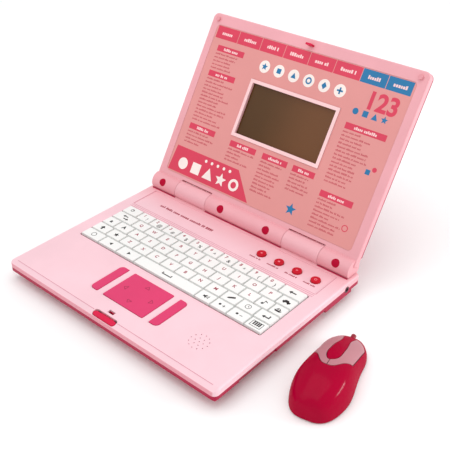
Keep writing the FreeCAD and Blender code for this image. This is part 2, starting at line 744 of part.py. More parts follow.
def make_bottom_shell():
    """Make the crimson pan of the base with its battery bay, posts and bosses."""
    rise = STRIP_LOW
    slope_foot = ("base_width - 2 * pan_inset_side", "base_depth - 2 * pan_inset_end")
    slopes = frustum("pan_slopes", ("0", "0", "0"), slope_foot, ("base_width", "base_depth"), rise)
    strip = box("pan_strip", ("-base_width / 2", FRONT, rise), ("base_width", "base_depth", "strip_height"))
    outline = plate("pan_outline", ("0", "0", "0"), "base_width", "base_depth", SPLIT,
                    "front_corner", "rear_corner")
    pan = common("pan_block", fuse("pan_sharp", [slopes, strip]), outline)
    blocks = []
    for side, low in (("right", "base_width / 2 - rest_block_width"), ("left", "-base_width / 2")):
        blocks.append(box(f"rest_block_{side}", (low, f"{FRONT} + rest_block_start", REST_LOW),
                          ("rest_block_width", "rest_block_end - rest_block_start", f"{SPLIT} - {REST_LOW}")))
    outer = fuse("pan_with_blocks", [pan] + blocks)
    grow = f"shell_wall / {rise}"
    inner_foot = tuple(f"base_{way} - 2 * pan_inset_{end} + 2 * pan_inset_{end} * {grow} - 2 * slope_wall"
                       for way, end in (("width", "side"), ("depth", "end")))
    inner_top = ("base_width - 2 * slope_wall", "base_depth - 2 * slope_wall")
    inner_slopes = frustum("pan_hollow_slopes", ("0", "0", "shell_wall"), inner_foot, inner_top,
                           f"{rise} - shell_wall")
    inner_strip = box("pan_hollow_strip", ("-base_width / 2 + shell_wall", f"{FRONT} + shell_wall", rise),
                      ("base_width - 2 * shell_wall", "base_depth - 2 * shell_wall", "strip_height"))
    inner_outline = plate("pan_hollow_outline", ("0", "0", "shell_wall"), "base_width - 2 * shell_wall",
                          "base_depth - 2 * shell_wall", f"{SPLIT} - shell_wall",
                          "front_corner - shell_wall", "rear_corner - shell_wall")
    hollow = common("pan_hollow", fuse("pan_hollow_sharp", [inner_slopes, inner_strip]), inner_outline)
    kept = list(blocks)
    kept += at_screws("pan_boss", "boss_radius", f"-{rise}", "boss_top")
    low_x, low_y, long, deep = bay_spans()
    bay_wall = box("bay_wall", (f"{low_x} - bay_rib", f"{low_y} - bay_rib", "0"),
                   (f"{long} + 2 * bay_rib", f"{deep} + 2 * bay_rib", "bay_rib_top"))
    bay_room = box("bay_room", (low_x, low_y, "0"), (long, deep, "2 * bay_rib_top"))
    kept.append(cut("bay_ribs", bay_wall, [bay_room]))
    far_row = f"{FRONT} + keyboard_front + keyboard_depth - board_post_inset"
    near_row = f"{FRONT} + keyboard_front + board_post_inset"
    spots = [("0", f"{FRONT} + pad_post_y")]
    for across in ("-board_post_x", "0", "board_post_x"):
        spots += [(across, far_row), (across, near_row)]
    for number, (across, deep_y) in enumerate(spots, start=1):
        kept.append(cylinder(f"board_post_{number}", "board_post_radius", BOARD_FOOT, (across, deep_y, "0")))
    shell = cut("pan_shell", outer, [cut("pan_free_room", hollow, kept)])
    holes = at_screws("pan_screw_hole", "screw_radius + seat_gap", f"-{rise}", "boss_top + shell_wall")
    holes += at_screws("pan_head_hole", "screw_head_radius + seat_gap", f"-{rise}",
                       "screw_sink + screw_head_thick")
    door = box("door_opening", (f"{low_x} + door_inset", f"{low_y} + door_inset", "-door_thick"),
               (f"{long} - 2 * door_inset", f"{deep} - 2 * door_inset", "3 * door_thick"))
    notch = box("side_notch", ("base_width / 2 - side_notch_deep", f"{FRONT} + side_notch_start", "0"),
                ("2 * side_notch_deep", "side_notch_end - side_notch_start", SPLIT))
    finish("base_bottom_shell", cut("pan_piece", shell, holes + [door, notch, jack_hole("pan")]))


def make_base_inside():
    """Make the membrane, boards, speaker, batteries, door, screws, pins and jack of the base."""
    finish("key_membrane", board_outline("membrane", "key_rim", BOARD_TOP, "membrane_thick"))
    finish("main_board", board_outline("board", "board_margin", BOARD_FOOT, "board_thick"))
    spot = ("speaker_x", f"{FRONT} + speaker_y", f"{DECK_UNDER} - speaker_frame")
    frame = cylinder("speaker_basket", "speaker_radius", "speaker_frame", spot)
    magnet_spot = (spot[0], spot[1], f"{spot[2]} - magnet_depth")
    magnet = cylinder("speaker_magnet", "magnet_radius", "magnet_depth", magnet_spot)
    finish("speaker", fuse("speaker_piece", [frame, magnet]))
    low_x, low_y, long, deep = bay_spans()
    cell_z = "(door_thick + cell_clear + cell_radius)"
    cells = []
    contacts = []
    for row_number in range(2):
        cell_y = f"({low_y} + cell_clear + cell_radius + {row_number} * cell_pitch)"
        for place_in_row in range(2):
            cell_x = f"({low_x} + contact_room + {place_in_row} * (cell_length + cell_clear))"
            name = f"cell_{row_number + 1}_{place_in_row + 1}"
            cells.append(cylinder(name, "cell_radius", "cell_length", (cell_x, cell_y, cell_z), "x"))
        nub = "(contact_room - contact_thick)"
        ends = (("left", f"({low_x} + contact_thick)"), ("right", f"({low_x} + {long} - contact_room)"))
        for end, nub_x in ends:
            contacts.append(cylinder(f"contact_nub_{end}_{row_number + 1}", "cell_radius / 2", nub,
                                     (nub_x, cell_y, cell_z), "x"))
    for end, plate_x in (("left", low_x), ("right", f"({low_x} + {long} - contact_thick)")):
        contacts.append(box(f"contact_plate_{end}", (plate_x, low_y, f"{cell_z} - cell_radius / 2"),
                            ("contact_thick", deep, "cell_radius")))
    finish("aa_batteries", fuse("cell_group", cells))
    finish("battery_contacts", fuse("contact_group", contacts))
    edge = "(door_inset + door_gap)"
    panel = box("door_panel", (f"{low_x} + {edge}", f"{low_y} + {edge}", "0"),
                (f"{long} - 2 * {edge}", f"{deep} - 2 * {edge}", "door_thick"))
    tab_y = f"({low_y} + {deep} / 2 - door_tab_width / 2)"
    tab_length = "(2 * door_tab_reach)"
    tabs = []
    for end, tab_x in (("left", f"{low_x} + door_inset - door_tab_reach"),
                       ("right", f"{low_x} + {long} - door_inset - door_tab_reach")):
        tabs.append(box(f"door_tab_{end}", (tab_x, tab_y, "shell_wall"),
                        (tab_length, "door_tab_width", "door_tab_thick")))
    finish("battery_door", fuse("door_piece", [panel] + tabs))
    heads = at_screws("screw_head", "screw_head_radius", "screw_sink", "screw_sink + screw_head_thick")
    shanks = at_screws("screw_shank", "screw_radius", "screw_sink + screw_head_thick",
                       "screw_sink + screw_head_thick + screw_length")
    finish("base_screws", fuse("screw_group", heads + shanks))
    pins = [hinge_run("hinge_pin", "pin_radius", "pin_inner", "pin_outer", sign) for sign in ("1", "-1")]
    finish("hinge_pins", fuse("pin_group", pins))
    start = "(base_width / 2 + jack_proud - jack_length)"
    jack_y = f"{FRONT} + jack_back"
    sleeve = cylinder("jack_sleeve", "jack_radius", "jack_length", (start, jack_y, SPLIT), "x")
    bore = cylinder("jack_bore_tool", "jack_bore", "jack_bore_deep",
                    (f"{start} + jack_length - jack_bore_deep", jack_y, SPLIT), "x")
    finish("mouse_jack", cut("jack_piece", sleeve, [bore]))


def lid_run(kind, radius, start, end, sign):
    """Make a cylinder on the hinge axis of the lid lying flat."""
    low = start if sign == "1" else f"-({end})"
    return cylinder(f"{kind}_{'right' if sign == '1' else 'left'}", radius, f"{end} - ({start})",
                    (low, "0", "0"), "x")


PLUG_PLACES = ["-plug_outer", "-plug_inner", "plug_inner", "plug_outer"]


def at_plugs(kind, radius, low, high):
    """Make a cylinder square to the lid at each screw plug, between two heights over the hinge axis."""
    return [cylinder(f"{kind}_{number}", radius, f"{high} - ({low})", (across, "0", low))
            for number, across in enumerate(PLUG_PLACES, start=1)]


def lid_box(name, lap, low, high):
    """Make a box centred on the display window, larger than it by a lap on each side."""
    return box(name, (f"lcd_offset - lcd_width / 2 - ({lap})", f"lcd_foot - ({lap})", low),
               (f"lcd_width + 2 * ({lap})", f"lcd_height + 2 * ({lap})", f"{high} - ({low})"))


def make_lid_shells():
    """Make the lid's front bezel with its hinge barrels, and its back cover."""
    middle = "(lid_top + lid_foot) / 2"
    slab = plate("bezel_block", ("0", middle, LID_BACK), "lid_width", "lid_top - lid_foot",
                 "lid_front_depth", "lid_low_corner", "lid_corner", top_edge="lid_edge")
    room_foot = "(lid_cover_foot + lid_wall)"
    room = box("bezel_hollow", ("-lid_width / 2 + lid_wall", room_foot, LID_BACK),
               ("lid_width - 2 * lid_wall", f"lid_top - lid_wall - {room_foot}",
                f"{FACE_INSIDE} - {LID_BACK}"))
    barrels = []
    for sign in ("1", "-1"):
        barrels.append(lid_run("outer_barrel", "barrel_radius", "knuckle_outer + run_gap", "barrel_end",
                               sign))
    barrels.append(cylinder("middle_barrel", "barrel_radius", "2 * (knuckle_inner - run_gap)",
                            ("-knuckle_inner + run_gap", "0", "0"), "x"))
    panel_middle = "(panel_foot + panel_top) / 2"
    recess = plate("panel_recess_tool", ("0", panel_middle, RECESS_FLOOR), "panel_width + 2 * seat_gap",
                   "panel_top - panel_foot + 2 * seat_gap", "2 * panel_recess", "panel_corner + seat_gap")
    window = lid_box("display_window", "0", f"{FACE_INSIDE} - lid_wall", f"{RECESS_FLOOR} + panel_recess")
    tools = [room, recess, window]
    for side, low in (("right", "knuckle_inner - run_gap"), ("left", "-knuckle_outer - run_gap")):
        tools.append(box(f"knuckle_gap_{side}", (low, "-2 * barrel_radius", "-2 * barrel_radius"),
                         ("knuckle_outer - knuckle_inner + 2 * run_gap",
                          "3 * barrel_radius + 3 * run_gap", "4 * barrel_radius")))
    for sign in ("1", "-1"):
        tools.append(lid_run("lid_pin_bore", "pin_radius + hole_gap", "pin_inner - run_gap",
                             "pin_outer + run_gap", sign))
    plug_floor = "(barrel_radius - plug_thick)"
    head_floor = f"({plug_floor} - screw_head_thick)"
    tools += at_plugs("plug_seat", "plug_radius + hole_gap", plug_floor, "2 * barrel_radius")
    tools += at_plugs("lid_head_seat", "screw_head_radius + hole_gap", head_floor, "barrel_radius")
    tools += at_plugs("lid_pilot", "screw_radius", f"{head_floor} - lid_screw_length - seat_gap",
                      "barrel_radius")
    tools.append(box("hook_seat", ("-hook_width / 2 - hole_gap", "hook_up - hook_thick / 2 - hole_gap",
                                   f"{FACE_INSIDE} - lid_wall"),
                     ("hook_width + 2 * hole_gap", "hook_thick + 2 * hole_gap",
                      "lid_face_wall + 2 * lid_wall")))
    bezel = cut("bezel_piece", fuse("bezel_joined", [slab] + barrels), tools)
    finish("lid_front_bezel", open_lid(bezel))
    cover_middle = "(lid_top + lid_cover_foot) / 2"
    cover = plate("back_block", ("0", cover_middle, f"{LID_BACK} - lid_back_depth"), "lid_width",
                  "lid_top - lid_cover_foot", "lid_back_depth", "lid_low_corner", "lid_corner",
                  foot_edge="lid_back_edge")
    inside_back = f"{LID_BACK} - lid_back_depth + lid_wall"
    inside = box("back_hollow", ("-lid_width / 2 + lid_wall", room_foot, inside_back),
                 ("lid_width - 2 * lid_wall", f"lid_top - lid_wall - {room_foot}", "lid_back_depth"))
    finish("lid_back_cover", open_lid(cut("back_piece", cover, [inside])))


def make_lid_inside():
    """Make the panel, display, board, hook, bumpers, screws and plugs of the lid."""
    panel_middle = "(panel_foot + panel_top) / 2"
    panel = plate("panel_block", ("0", panel_middle, RECESS_FLOOR), "panel_width", "panel_top - panel_foot",
                  "panel_thick", "panel_corner")
    hole = lid_box("panel_hole", "lcd_frame_wide + seat_gap", f"{RECESS_FLOOR} - panel_thick", "2 * lid_face")
    finish("graphic_panel", open_lid(cut("panel_piece", panel, [hole])))
    frame_top = "(lid_face + lcd_frame_proud)"
    outer = lid_box("lcd_frame_outer", "lcd_frame_wide", RECESS_FLOOR, frame_top)
    inner = lid_box("lcd_frame_inner", "0", f"{RECESS_FLOOR} - panel_thick", f"2 * {frame_top}")
    finish("lcd_frame", open_lid(cut("lcd_frame_piece", outer, [inner])))
    lcd_back = f"({FACE_INSIDE} - lcd_thick)"
    glass = lid_box("lcd_glass", "lcd_lap", lcd_back, FACE_INSIDE)
    backing = lid_box("lcd_backing", "lcd_lap / 2", f"{lcd_back} - seat_gap", FACE_INSIDE)
    finish("lcd_module", open_lid(fuse("lcd_piece", [glass, backing])))
    board_top = f"({lcd_back} - seat_gap)"
    board_back = f"({board_top} - display_board_thick)"
    board = lid_box("display_board_plate", "display_board_lap", board_back, board_top)
    chip = box("display_chip", ("lcd_offset - chip_width / 2", f"{LCD_CENTRE_Y} - chip_height / 2",
                                f"{board_back} - chip_thick"),
               ("chip_width", "chip_height", "chip_thick"))
    finish("display_board", open_lid(fuse("display_board_piece", [board, chip])))
    tongue = box("hook_tongue", ("-hook_width / 2", "hook_up - hook_thick / 2", FACE_INSIDE),
                 ("hook_width", "hook_thick", "lid_face_wall + hook_reach"))
    flange = box("hook_flange", ("-hook_flange_width / 2", "hook_up - hook_flange_height / 2",
                                 f"{FACE_INSIDE} - hook_flange_thick"),
                 ("hook_flange_width", "hook_flange_height", "hook_flange_thick"))
    finish("lid_hook", open_lid(fuse("hook_piece", [tongue, flange])))
    bumpers = []
    for side, sign in (("right", "1"), ("left", "-1")):
        spot = (f"{sign} * (lid_width / 2 - bumper_side)", "lid_top - bumper_down", "lid_face")
        bumpers.append(cylinder(f"bumper_{side}", "bumper_radius", "bumper_height", spot))
    finish("lid_bumpers", open_lid(fuse("bumper_group", bumpers)))
    plug_floor = "(barrel_radius - plug_thick)"
    head_floor = f"({plug_floor} - screw_head_thick)"
    screws = at_plugs("lid_screw_head", "screw_head_radius", head_floor, plug_floor)
    screws += at_plugs("lid_screw_shank", "screw_radius", f"{head_floor} - lid_screw_length", head_floor)
    finish("lid_screws", open_lid(fuse("lid_screw_group", screws)))
    plugs = fuse("plug_group", at_plugs("plug", "plug_radius", plug_floor, "2 * barrel_radius"))
    crown = cylinder("plug_crown", "barrel_radius + plug_proud", "2 * barrel_end",
                     ("-barrel_end", "0", "0"), "x")
    finish("screw_plugs", open_lid(common("plug_pieces", plugs, crown)))


# turns from tail to nose at which the cross-sections of the mouse stand, closer together at both ends
MOUSE_TURNS = [0.06, 0.16, 0.32, 0.55, 0.85, 1.2, 1.57, 1.94, 2.29, 2.59, 2.82, 2.98, 3.08]
ARCH_STEPS = 8


def mouse_section(turn, length, width, height, low):
    """Return the points of one arched cross-section of the mouse."""
    along = -math.cos(turn)
    waist = math.exp(-((along - size("mouse_waist_place")) / size("mouse_waist_spread")) ** 2)
    slim = 1 - size("mouse_nose_narrow") * (along + 1) / 2 - size("mouse_waist") * waist
    half = width / 2 * size("mouse_swell") * slim * math.sin(turn) ** size("mouse_plan_power")
    start = size("mouse_fall_start")
    fall = size("mouse_nose_fall") * max(0.0, along + start) ** 1.5
    fall += size("mouse_tail_fall") * max(0.0, -start - along) ** 2
    rise = (height - low) * math.sin(turn) ** size("mouse_side_power") * (1 - fall)
    points = []
    for step in range(ARCH_STEPS + 1):
        angle = math.pi * step / ARCH_STEPS
        across = math.copysign(abs(math.cos(angle)) ** size("mouse_arch_across"), math.cos(angle))
        up = math.sin(angle) ** size("mouse_arch_up")
        points.append(Vector(half * across, along * length / 2, low + rise * up))
    return points


def mouse_hull(length, width, height, low):
    """Make the mouse's rounded body as a loft through its cross-sections."""
    wires = []
    for turn in MOUSE_TURNS:
        points = mouse_section(turn, length, width, height, low)
        arch = Part.BSplineCurve()
        arch.interpolate(points)
        foot = Part.LineSegment(points[-1], points[0])
        wires.append(Part.Wire([arch.toShape(), foot.toShape()]))
    return Part.makeLoft(wires, True, False)


def upright(edges, low, high):
    """Make an upright prism over a closed outline."""
    wire = Part.Wire(edges)
    wire.translate(Vector(0, 0, low))
    return Part.Face(wire).extrude(Vector(0, 0, high - low))


def grown(points, gap):
    """Move the points of a line to its right by a gap, square to the line."""
    moved = []
    for index, point in enumerate(points):
        before = points[max(index - 1, 0)]
        after = points[min(index + 1, len(points) - 1)]
        run = (after - before).normalize()
        moved.append(point + Vector(run.y, -run.x, 0) * gap)
    return moved


# rear edge of a mouse button as shares of its half width and of its run from the slit to the tip
BUTTON_EDGE = [(0.34, 0.1), (0.55, 0.4), (0.75, 0.72), (0.92, 0.92), (1.0, 1.0)]
# right edge of the centre inlay as shares of its half width and of its run from the tip to the nose
INLAY_EDGE = [(0.75, 0.07), (1.0, 0.28), (0.87, 0.52), (0.68, 0.71), (0.5, 1.05)]


def mouse_button_outline(sign, gap):
    """Return the edges around one mouse button, grown by a gap."""
    back = size("mouse_button_back")
    run = size("mouse_button_run")
    side = size("mouse_button_side")
    nose = size("mouse_length")
    inner = size("mouse_gap") / 2
    edge = [Vector(inner, back, 0)]
    edge += [Vector(across * side, back + along * run, 0) for across, along in BUTTON_EDGE]
    edge = grown(edge, gap)
    edge[0].x = inner - gap
    tip = edge[-1]
    tip.x = side + gap
    corners = [tip, Vector(tip.x, nose, 0), Vector(inner - gap, nose, 0), edge[0]]
    for point in edge[:-1] + corners[:-1]:
        point.x = sign * point.x
    line = Part.BSplineCurve()
    line.interpolate(edge)
    sides = [Part.LineSegment(start, end).toShape() for start, end in zip(corners, corners[1:])]
    return [line.toShape()] + sides


def inlay_outline(grow):
    """Return the edge around the teardrop between the mouse buttons, grown by a gap."""
    half = size("inlay_half_width") + grow
    back = size("inlay_back") - grow
    run = size("mouse_length") / 2 - back
    right = [(across * half, back + along * run) for across, along in INLAY_EDGE]
    points = [(0.0, back)] + right + [(-x, y) for x, y in reversed(right)]
    line = Part.BSplineCurve()
    line.interpolate([Vector(x, y, 0) for x, y in points], PeriodicFlag=True)
    return [line.toShape()]


def mouse_piece(label, shape):
    """Keep a mouse shape as a sub-part and set it beside the base."""
    item = doc.addObject("Part::Feature", label + "_shape")
    item.Shape = shape
    item.Placement = Placement(Vector(), Rotation(Z_AXIS, 10))
    bind(item, Placement__Rotation__Angle="mouse_heading")
    finish(label, place(item, "mouse_x", "mouse_y", "0"))


def make_mouse():
    """Make the mouse from one rounded hull: base, shell, two buttons, inlay, board and cord gland."""
    length = size("mouse_length")
    wall = size("mouse_wall")
    split = size("mouse_split")
    lift = size("mouse_lift")
    tall = 2 * size("mouse_height")
    gap = size("mouse_gap")
    low = size("mouse_button_low")
    hull = mouse_hull(length, size("mouse_width"), size("mouse_height"), lift)
    room = mouse_hull(length - 2 * wall, size("mouse_width") - 2 * wall, size("mouse_height") - wall,
                      lift + wall)
    skin = hull.cut(room)
    below = Part.makeBox(length, 2 * length, split, Vector(-length / 2, -length, 0))
    gland_spot = Vector(0, length / 2 - size("gland_root"), size("gland_up"))
    gland_long = size("gland_root + gland_reach")
    gland = Part.makeCylinder(size("gland_radius"), gland_long, gland_spot, Y_AXIS)
    gland_seat = Part.makeCylinder(size("gland_radius + hole_gap"), gland_long, gland_spot, Y_AXIS)
    foot_wide = size("mouse_foot_width")
    foot_deep = size("mouse_foot_depth")
    foot_tall = lift + wall
    feet = []
    for sign in (-1, 1):
        corner = Vector(-foot_wide / 2, sign * length / 3 - foot_deep / 2, 0)
        feet.append(Part.makeBox(foot_wide, foot_deep, foot_tall, corner))
    mouse_piece("mouse_base", skin.common(below).cut(gland_seat).fuse(feet).removeSplitter())
    drop = size("mouse_button_travel + run_gap")
    shell = skin.cut(below).cut(gland_seat)
    inlay = skin.common(upright(inlay_outline(0.0), low, tall))
    inlay_room = upright(inlay_outline(gap), low - drop, tall)
    inlay_post = upright(inlay_outline(0.0), low - drop, low)
    for side, sign in (("left", -1), ("right", 1)):
        button = skin.common(upright(mouse_button_outline(sign, 0.0), low, tall)).cut(inlay_room)
        mouse_piece(f"mouse_{side}_button", button)
        shell = shell.cut(upright(mouse_button_outline(sign, gap), low - drop, tall).cut(inlay_post))
    shell = shell.cut(upright(inlay_outline(0.0), low, tall))
    mouse_piece("mouse_shell", shell)
    mouse_piece("mouse_centre_inlay", inlay)
    board_wide = size("mouse_board_width")
    board_deep = size("mouse_board_depth")
    mouse_piece("mouse_board", Part.makeBox(board_wide, board_deep, size("mouse_board_thick"),
                                            Vector(-board_wide / 2, -board_deep / 2, lift + wall)))
    mouse_piece("mouse_cord_gland", gland)


make_top_cover()
make_bottom_shell()
make_base_inside()
make_keys()
make_pad_and_bars()
make_round_buttons()
make_latch()
make_lid_shells()
make_lid_inside()
make_mouse()
doc.recompute()

for item in doc.Objects:
    if "Invalid" in item.State or "Error" in item.State:
        raise RuntimeError(f"{item.Name} failed: {item.State}")
for item in subparts:
    if item.Shape.isNull() or not item.Shape.isValid():
        raise RuntimeError(f"{item.Label} has no valid shape")

os.makedirs("parts", exist_ok=True)
for item in subparts:
    item.Shape.exportStep(f"parts/{item.Label}.step")
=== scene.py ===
"""Looks of the toy laptop: materials, key legends, lid print, small marks, floor, light and camera."""
import json
import math
import random

import bpy
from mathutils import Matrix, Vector


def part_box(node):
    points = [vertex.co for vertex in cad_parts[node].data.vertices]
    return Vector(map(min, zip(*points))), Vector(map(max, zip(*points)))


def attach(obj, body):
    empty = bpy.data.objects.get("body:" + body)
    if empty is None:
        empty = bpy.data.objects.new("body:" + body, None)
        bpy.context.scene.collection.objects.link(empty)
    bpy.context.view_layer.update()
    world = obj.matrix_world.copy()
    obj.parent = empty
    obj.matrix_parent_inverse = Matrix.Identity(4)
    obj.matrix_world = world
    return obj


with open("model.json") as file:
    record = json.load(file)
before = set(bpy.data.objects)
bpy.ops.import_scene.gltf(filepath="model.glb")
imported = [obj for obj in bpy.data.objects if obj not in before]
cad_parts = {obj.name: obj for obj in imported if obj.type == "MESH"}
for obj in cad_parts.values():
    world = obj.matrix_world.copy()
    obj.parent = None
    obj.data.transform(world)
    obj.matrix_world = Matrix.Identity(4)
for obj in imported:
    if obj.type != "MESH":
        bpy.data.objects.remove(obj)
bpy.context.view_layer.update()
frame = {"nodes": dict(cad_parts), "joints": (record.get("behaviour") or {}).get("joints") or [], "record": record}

# lengths are in millimetres, and this factor turns them into metres
MM = 0.001
NODES = frame["nodes"]
SLOTS = {entry["node"]: entry["material_slot"] for entry in frame["record"]["subparts"]}

# hinge axis of the lid, and the lid's lean from upright: to close, it turns by this lean and a quarter turn
QUARTER_TURN = 90.0
lid_hinge = next(joint for joint in frame["joints"] if joint["name"] == "lid_hinge")
HINGE_Y = lid_hinge["pos_m"][1] / MM
HINGE_Z = lid_hinge["pos_m"][2] / MM
LEAN = math.radians(lid_hinge["range_deg"][1] - QUARTER_TURN)

# deck of the base, and its sunk strip behind the keyboard
DECK_Z = 21.0
RECESS_Z = 20.5


# materials

NOISE_LOW = 0.3
NOISE_HIGH = 0.7
BROAD_DETAIL = 3.0
FINE_DETAIL = 2.0
FINE_SCALE = 1400.0
BUMP_DEPTH = 0.2
ROUGH_SPREAD = 0.12


def shade(rgb, factor=1.0):
    """Turn a screen colour of 0 to 255 into a linear colour, darker or lighter by a factor."""
    made = []
    for part in rgb:
        value = part / 255
        value = value / 12.92 if value <= 0.04045 else ((value + 0.055) / 1.055) ** 2.4
        made.append(min(1.0, value * factor))
    return (*made, 1.0)


def noise(nodes, links, coords, scale, detail):
    """Add a noise texture over the object's own coordinates."""
    texture = nodes.new("ShaderNodeTexNoise")
    texture.inputs["Scale"].default_value = scale
    texture.inputs["Detail"].default_value = detail
    links.new(coords.outputs["Object"], texture.inputs["Vector"])
    return texture


def spread(nodes, links, source, low, high):
    """Map a noise to a range of values."""
    item = nodes.new("ShaderNodeMapRange")
    item.inputs["From Min"].default_value = NOISE_LOW
    item.inputs["From Max"].default_value = NOISE_HIGH
    item.inputs["To Min"].default_value = low
    item.inputs["To Max"].default_value = high
    links.new(source.outputs["Fac"], item.inputs["Value"])
    return item.outputs["Result"]


def change_along(nodes, links, coords, source, axis, rgb, start, end):
    """Let a colour change to another one along an axis, from one place on it to another."""
    axes = nodes.new("ShaderNodeSeparateXYZ")
    links.new(coords.outputs["Object"], axes.inputs["Vector"])
    along = nodes.new("ShaderNodeMapRange")
    along.interpolation_type = "SMOOTHSTEP"
    along.inputs["From Min"].default_value = start * MM
    along.inputs["From Max"].default_value = end * MM
    links.new(axes.outputs[axis], along.inputs["Value"])
    changed = nodes.new("ShaderNodeMix")
    changed.data_type = "RGBA"
    changed.inputs["B"].default_value = shade(rgb)
    links.new(along.outputs["Result"], changed.inputs["Factor"])
    links.new(source.outputs["Result"], changed.inputs["A"])
    return changed


def surface(name, rgb, rough, tone=0.04, patch=22.0, bump=0.05, metal=0.0, coat=0.0, coat_rough=0.08,
            gloss=0.5, painted_light=()):
    """Make a moulded or printed surface with slight changes of tone, gloss and height."""
    material = bpy.data.materials.new(name)
    material.use_nodes = True
    nodes = material.node_tree.nodes
    links = material.node_tree.links
    shader = nodes["Principled BSDF"]
    coords = nodes.new("ShaderNodeTexCoord")
    broad = noise(nodes, links, coords, patch, BROAD_DETAIL)
    fine = noise(nodes, links, coords, FINE_SCALE, FINE_DETAIL)
    colour = nodes.new("ShaderNodeMix")
    colour.data_type = "RGBA"
    colour.inputs["A"].default_value = shade(rgb, 1.0 - tone)
    colour.inputs["B"].default_value = shade(rgb, 1.0 + tone)
    links.new(spread(nodes, links, broad, 0.0, 1.0), colour.inputs["Factor"])
    # painted shade and painted reflection, as colour changes along an axis
    for axis, other, start, end in painted_light:
        colour = change_along(nodes, links, coords, colour, axis, other, start, end)
    links.new(colour.outputs["Result"], shader.inputs["Base Color"])
    smoother = rough * (1.0 - ROUGH_SPREAD)
    rougher = min(1.0, rough * (1.0 + ROUGH_SPREAD))
    links.new(spread(nodes, links, fine, smoother, rougher), shader.inputs["Roughness"])
    height = nodes.new("ShaderNodeBump")
    height.inputs["Strength"].default_value = bump
    height.inputs["Distance"].default_value = BUMP_DEPTH * MM
    links.new(fine.outputs["Fac"], height.inputs["Height"])
    links.new(height.outputs["Normal"], shader.inputs["Normal"])
    shader.inputs["Metallic"].default_value = metal
    shader.inputs["Specular IOR Level"].default_value = gloss
    shader.inputs["Coat Weight"].default_value = coat
    shader.inputs["Coat Roughness"].default_value = coat_rough
    return material


# painted shade: the deck is deeper in colour towards its hinge and on its front face
DECK_PAINTED_SHADE = [
    # painted shade towards the hinge
    ("Y", (236, 174, 182), 50.0, 96.0),
    # painted shade on the front face
    ("Y", (226, 150, 162), -103.2, -103.9),
]
# painted reflection: the display is lighter towards its right end
LCD_PAINTED_REFLECTION = [("X", (106, 67, 37), -36.0, 36.0)]

# one finish for each material slot
FINISHES = {
    "deck_pink": dict(rgb=(241, 200, 209), rough=0.42, painted_light=DECK_PAINTED_SHADE),
    "pan_crimson": dict(rgb=(170, 14, 62), rough=0.4, gloss=0.25),
    "lid_pink": dict(rgb=(233, 165, 173), rough=0.42),
    "panel_print": dict(rgb=(222, 146, 143), rough=0.5, tone=0.02),
    "lcd_frame_pink": dict(rgb=(248, 204, 206), rough=0.3, coat=0.1),
    "lcd_glass": dict(rgb=(78, 51, 24), rough=0.22, tone=0.16, patch=9.0, bump=0.01, gloss=0.2,
                      painted_light=LCD_PAINTED_REFLECTION),
    "board_green": dict(rgb=(40, 110, 60), rough=0.5),
    "steel": dict(rgb=(190, 190, 192), rough=0.3, metal=1.0),
    "cell_can": dict(rgb=(70, 72, 78), rough=0.35, metal=0.4),
    "speaker_frame": dict(rgb=(246, 196, 206), rough=0.6),
    "membrane_rubber": dict(rgb=(176, 164, 166), rough=0.8),
    "bumper_rubber": dict(rgb=(226, 152, 160), rough=0.6),
    "jack_black": dict(rgb=(74, 30, 44), rough=0.35),
    "latch_crimson": dict(rgb=(212, 10, 66), rough=0.32, gloss=0.25),
    "plug_crimson": dict(rgb=(178, 4, 48), rough=0.45, gloss=0.08),
    "pad_pink": dict(rgb=(215, 43, 102), rough=0.45),
    "button_red": dict(rgb=(196, 16, 40), rough=0.3, gloss=0.2),
    "mouse_crimson": dict(rgb=(166, 1, 46), rough=0.4, tone=0.06, bump=0.01, coat=0.14, coat_rough=0.15,
                          gloss=0.0),
    "mouse_pink": dict(rgb=(184, 124, 132), rough=0.4, gloss=0.2),
    "gland_rubber": dict(rgb=(140, 8, 36), rough=0.5),
    "key_white": dict(rgb=(240, 241, 239), rough=0.34, tone=0.02),
}
LOOKS = {name: surface(name, **finish) for name, finish in FINISHES.items()}

# colour and roughness of each ink
INK_FINISHES = {
    "ink_crimson": ((158, 26, 58), 0.5),
    "ink_black": ((20, 18, 20), 0.5),
    "ink_red": ((214, 50, 82), 0.45),
    "ink_blue": ((0, 112, 164), 0.45),
    "ink_blush": ((248, 206, 206), 0.45),
    "ink_cream": ((246, 232, 226), 0.45),
    "ink_rose": ((196, 82, 92), 0.5),
    "ink_pad": ((170, 24, 72), 0.5),
    "ink_pale": ((236, 130, 142), 0.45),
    # painted shade for the lines on the deck
    "painted_shade_pink": ((206, 130, 148), 0.5),
    # painted shade in front of the keys
    "painted_shade_crimson": ((132, 8, 44), 0.5),
    # painted shadow under the lid's barrels and in its gaps above the knuckles
    "painted_shadow_crimson": ((196, 40, 86), 0.5),
}
INKS = {name: surface(name, rgb, rough) for name, (rgb, rough) in INK_FINISHES.items()}

for node, item in NODES.items():
    item.data.materials.clear()
    item.data.materials.append(LOOKS[SLOTS[node]])


# rounded edges

EDGE_SEGMENTS = 3
SHARP_ANGLE = math.radians(40)
KEY_EDGE = 0.35
PAD_EDGE = 0.4
BUTTON_EDGE = 0.6
FRAME_EDGE = 0.8
KEYS = [node for node in NODES if SLOTS[node] == "key_white"]
BUTTONS = [f"function_button_{number}" for number in range(1, 5)]


def soften(nodes, width):
    """Round the sharp edges of CAD nodes in the picture."""
    for node in nodes:
        bevel = NODES[node].modifiers.new("soft_edges", "BEVEL")
        bevel.width = width * MM
        bevel.segments = EDGE_SEGMENTS
        bevel.limit_method = "ANGLE"
        bevel.angle_limit = SHARP_ANGLE


soften(KEYS, KEY_EDGE)
soften(["touchpad", "left_click_bar", "right_click_bar"], PAD_EDGE)
soften(BUTTONS, BUTTON_EDGE)
soften(["lcd_frame"], FRAME_EDGE)


# places

def on_deck(x, y, z):
    """Return a point in the base's own axes, from millimetres."""
    return Vector((x, y, z)) * MM


